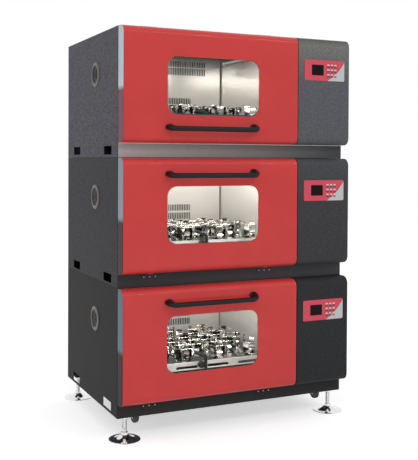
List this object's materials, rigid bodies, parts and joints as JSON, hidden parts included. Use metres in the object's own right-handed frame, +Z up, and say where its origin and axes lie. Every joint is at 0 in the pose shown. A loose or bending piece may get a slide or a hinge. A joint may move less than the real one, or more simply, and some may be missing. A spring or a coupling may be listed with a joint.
{
  "type": "stacked incubator shaker",
  "caption": "Stacked incubator shakers with glazed front doors, orbiting trays of flask clamps, side control bays, levelling feet and raised casters.",
  "frame": {"origin": "on the floor, under the middle of the part's box seen from above", "axes": "+X to the right seen from the front, +Y towards the back, +Z up; the doors face -Y"},
  "size_m": [1.312, 1.0154, 1.9832],
  "materials": {
    "casing_paint": "satin",
    "cover_paint": "satin",
    "door_paint": "gloss",
    "stainless": "satin",
    "seal_rubber": "matte",
    "keypad_film": "satin",
    "window_glass": "gloss",
    "handle_paint": "gloss",
    "lock_plastic": "satin",
    "motor_housing": "matte",
    "crank_iron": "matte",
    "fan_metal": "satin",
    "foot_chrome": "polished",
    "fork_zinc": "satin",
    "wheel_tyre": "matte"
  },
  "bodies": {
    "stack": {"casing_bottom": "casing_paint", "base_pan_bottom": "casing_paint", "chamber_bottom": "stainless", "air_baffle_bottom": "stainless", "door_seal_bottom": "seal_rubber", "control_cover_bottom": "cover_paint", "keypad_bottom": "keypad_film", "side_port_bottom": "stainless", "drive_motor_bottom": "motor_housing", "casing_middle": "casing_paint", "base_pan_middle": "casing_paint", "chamber_middle": "stainless", "air_baffle_middle": "stainless", "door_seal_middle": "seal_rubber", "control_cover_middle": "cover_paint", "keypad_middle": "keypad_film", "side_port_middle": "stainless", "drive_motor_middle": "motor_housing", "casing_top": "casing_paint", "base_pan_top": "casing_paint", "chamber_top": "stainless", "air_baffle_top": "stainless", "door_seal_top": "seal_rubber", "control_cover_top": "cover_paint", "keypad_top": "keypad_film", "side_port_top": "stainless", "drive_motor_top": "motor_housing"},
    "door_bottom": {"door_bottom": "door_paint", "window_bottom": "window_glass", "handle_bottom": "handle_paint"},
    "door_middle": {"door_middle": "door_paint", "window_middle": "window_glass", "handle_middle": "handle_paint"},
    "door_top": {"door_top": "door_paint", "window_top": "window_glass", "handle_top": "handle_paint"},
    "crank_bottom": {"eccentric_crank_bottom": "crank_iron"},
    "crank_middle": {"eccentric_crank_middle": "crank_iron"},
    "crank_top": {"eccentric_crank_top": "crank_iron"},
    "platform_bottom": {"platform_bottom": "stainless"},
    "platform_middle": {"platform_middle": "stainless"},
    "platform_top": {"platform_top": "stainless"},
    "tray_lock_bottom": {"tray_lock_bottom": "lock_plastic"},
    "tray_lock_middle": {"tray_lock_middle": "lock_plastic"},
    "tray_lock_top": {"tray_lock_top": "lock_plastic"},
    "fan_bottom": {"fan_bottom": "fan_metal"},
    "fan_middle": {"fan_middle": "fan_metal"},
    "fan_top": {"fan_top": "fan_metal"},
    "foot_front_left": {"levelling_foot_front_left": "foot_chrome"},
    "foot_front_right": {"levelling_foot_front_right": "foot_chrome"},
    "foot_back_left": {"levelling_foot_back_left": "foot_chrome"},
    "foot_back_right": {"levelling_foot_back_right": "foot_chrome"},
    "fork_front_left": {"caster_fork_front_left": "fork_zinc"},
    "fork_front_right": {"caster_fork_front_right": "fork_zinc"},
    "fork_back_left": {"caster_fork_back_left": "fork_zinc"},
    "fork_back_right": {"caster_fork_back_right": "fork_zinc"},
    "wheel_front_left": {"caster_wheel_front_left": "wheel_tyre"},
    "wheel_front_right": {"caster_wheel_front_right": "wheel_tyre"},
    "wheel_back_left": {"caster_wheel_back_left": "wheel_tyre"},
    "wheel_back_right": {"caster_wheel_back_right": "wheel_tyre"}
  },
  "joints": [
    {"name": "door_bottom_hinge", "type": "hinge", "parent": "stack", "child": "door_bottom", "pos_m": [-0.1565, -0.38485, 0.1785], "axis": [1, 0, 0], "range_deg": [0, 90]},
    {"name": "door_middle_hinge", "type": "hinge", "parent": "stack", "child": "door_middle", "pos_m": [-0.1565, -0.38485, 0.7985], "axis": [1, 0, 0], "range_deg": [0, 90]},
    {"name": "door_top_hinge", "type": "hinge", "parent": "stack", "child": "door_top", "pos_m": [-0.1565, -0.35635, 1.9792], "axis": [-1, 0, 0], "range_deg": [0, 90]},
    {"name": "crank_bottom_spin", "type": "hinge", "parent": "stack", "child": "crank_bottom", "pos_m": [-0.158, 0.03615, 0.277], "axis": [0, 0, 1], "continuous": true},
    {"name": "crank_middle_spin", "type": "hinge", "parent": "stack", "child": "crank_middle", "pos_m": [-0.158, 0.03615, 0.897], "axis": [0, 0, 1], "continuous": true},
    {"name": "crank_top_spin", "type": "hinge", "parent": "stack", "child": "crank_top", "pos_m": [-0.158, 0.03615, 1.517], "axis": [0, 0, 1], "continuous": true},
    {"name": "platform_bottom_bearing", "type": "hinge", "parent": "crank_bottom", "child": "platform_bottom", "pos_m": [-0.158, 0.02365, 0.277], "axis": [0, 0, 1], "continuous": true},
    {"name": "platform_middle_bearing", "type": "hinge", "parent": "crank_middle", "child": "platform_middle", "pos_m": [-0.158, 0.02365, 0.897], "axis": [0, 0, 1], "continuous": true},
    {"name": "platform_top_bearing", "type": "hinge", "parent": "crank_top", "child": "platform_top", "pos_m": [-0.158, 0.02365, 1.517], "axis": [0, 0, 1], "continuous": true},
    {"name": "tray_lock_bottom_lever", "type": "hinge", "parent": "platform_bottom", "child": "tray_lock_bottom", "pos_m": [-0.128, -0.24165, 0.296], "axis": [0, 1, 0], "range_deg": [0, 90]},
    {"name": "tray_lock_middle_lever", "type": "hinge", "parent": "platform_middle", "child": "tray_lock_middle", "pos_m": [-0.128, -0.24165, 0.916], "axis": [0, 1, 0], "range_deg": [0, 90]},
    {"name": "tray_lock_top_lever", "type": "hinge", "parent": "platform_top", "child": "tray_lock_top", "pos_m": [-0.128, -0.24165, 1.536], "axis": [0, 1, 0], "range_deg": [0, 90]},
    {"name": "fan_bottom_spin", "type": "hinge", "parent": "stack", "child": "fan_bottom", "pos_m": [-0.428, 0.42365, 0.634], "axis": [0, 1, 0], "continuous": true},
    {"name": "fan_middle_spin", "type": "hinge", "parent": "stack", "child": "fan_middle", "pos_m": [-0.428, 0.42365, 1.254], "axis": [0, 1, 0], "continuous": true},
    {"name": "fan_top_spin", "type": "hinge", "parent": "stack", "child": "fan_top", "pos_m": [-0.428, 0.42365, 1.874], "axis": [0, 1, 0], "continuous": true},
    {"name": "foot_front_left_screw", "type": "slide", "parent": "stack", "child": "foot_front_left", "axis": [0, 0, 1], "range_m": [-0.03, 0]},
    {"name": "foot_front_right_screw", "type": "slide", "parent": "stack", "child": "foot_front_right", "axis": [0, 0, 1], "range_m": [-0.03, 0]},
    {"name": "foot_back_left_screw", "type": "slide", "parent": "stack", "child": "foot_back_left", "axis": [0, 0, 1], "range_m": [-0.03, 0]},
    {"name": "foot_back_right_screw", "type": "slide", "parent": "stack", "child": "foot_back_right", "axis": [0, 0, 1], "range_m": [-0.03, 0]},
    {"name": "fork_front_left_swivel", "type": "hinge", "parent": "stack", "child": "fork_front_left", "pos_m": [-0.514, -0.29535, 0.153], "axis": [0, 0, 1], "continuous": true},
    {"name": "fork_front_right_swivel", "type": "hinge", "parent": "stack", "child": "fork_front_right", "pos_m": [0.514, -0.29535, 0.153], "axis": [0, 0, 1], "continuous": true},
    {"name": "fork_back_left_swivel", "type": "hinge", "parent": "stack", "child": "fork_back_left", "pos_m": [-0.514, 0.38365, 0.153], "axis": [0, 0, 1], "continuous": true},
    {"name": "fork_back_right_swivel", "type": "hinge", "parent": "stack", "child": "fork_back_right", "pos_m": [0.514, 0.38365, 0.153], "axis": [0, 0, 1], "continuous": true},
    {"name": "wheel_front_left_roll", "type": "hinge", "parent": "fork_front_left", "child": "wheel_front_left", "pos_m": [-0.514, -0.31035, 0.098], "axis": [1, 0, 0], "continuous": true},
    {"name": "wheel_front_right_roll", "type": "hinge", "parent": "fork_front_right", "child": "wheel_front_right", "pos_m": [0.514, -0.31035, 0.098], "axis": [1, 0, 0], "continuous": true},
    {"name": "wheel_back_left_roll", "type": "hinge", "parent": "fork_back_left", "child": "wheel_back_left", "pos_m": [-0.514, 0.36865, 0.098], "axis": [1, 0, 0], "continuous": true},
    {"name": "wheel_back_right_roll", "type": "hinge", "parent": "fork_back_right", "child": "wheel_back_right", "pos_m": [0.514, 0.36865, 0.098], "axis": [1, 0, 0], "continuous": true}
  ],
  "couplings": [
    {"joint": "platform_bottom_bearing", "follows": "crank_bottom_spin", "ratio": -1},
    {"joint": "platform_middle_bearing", "follows": "crank_middle_spin", "ratio": -1},
    {"joint": "platform_top_bearing", "follows": "crank_top_spin", "ratio": -1}
  ]
}
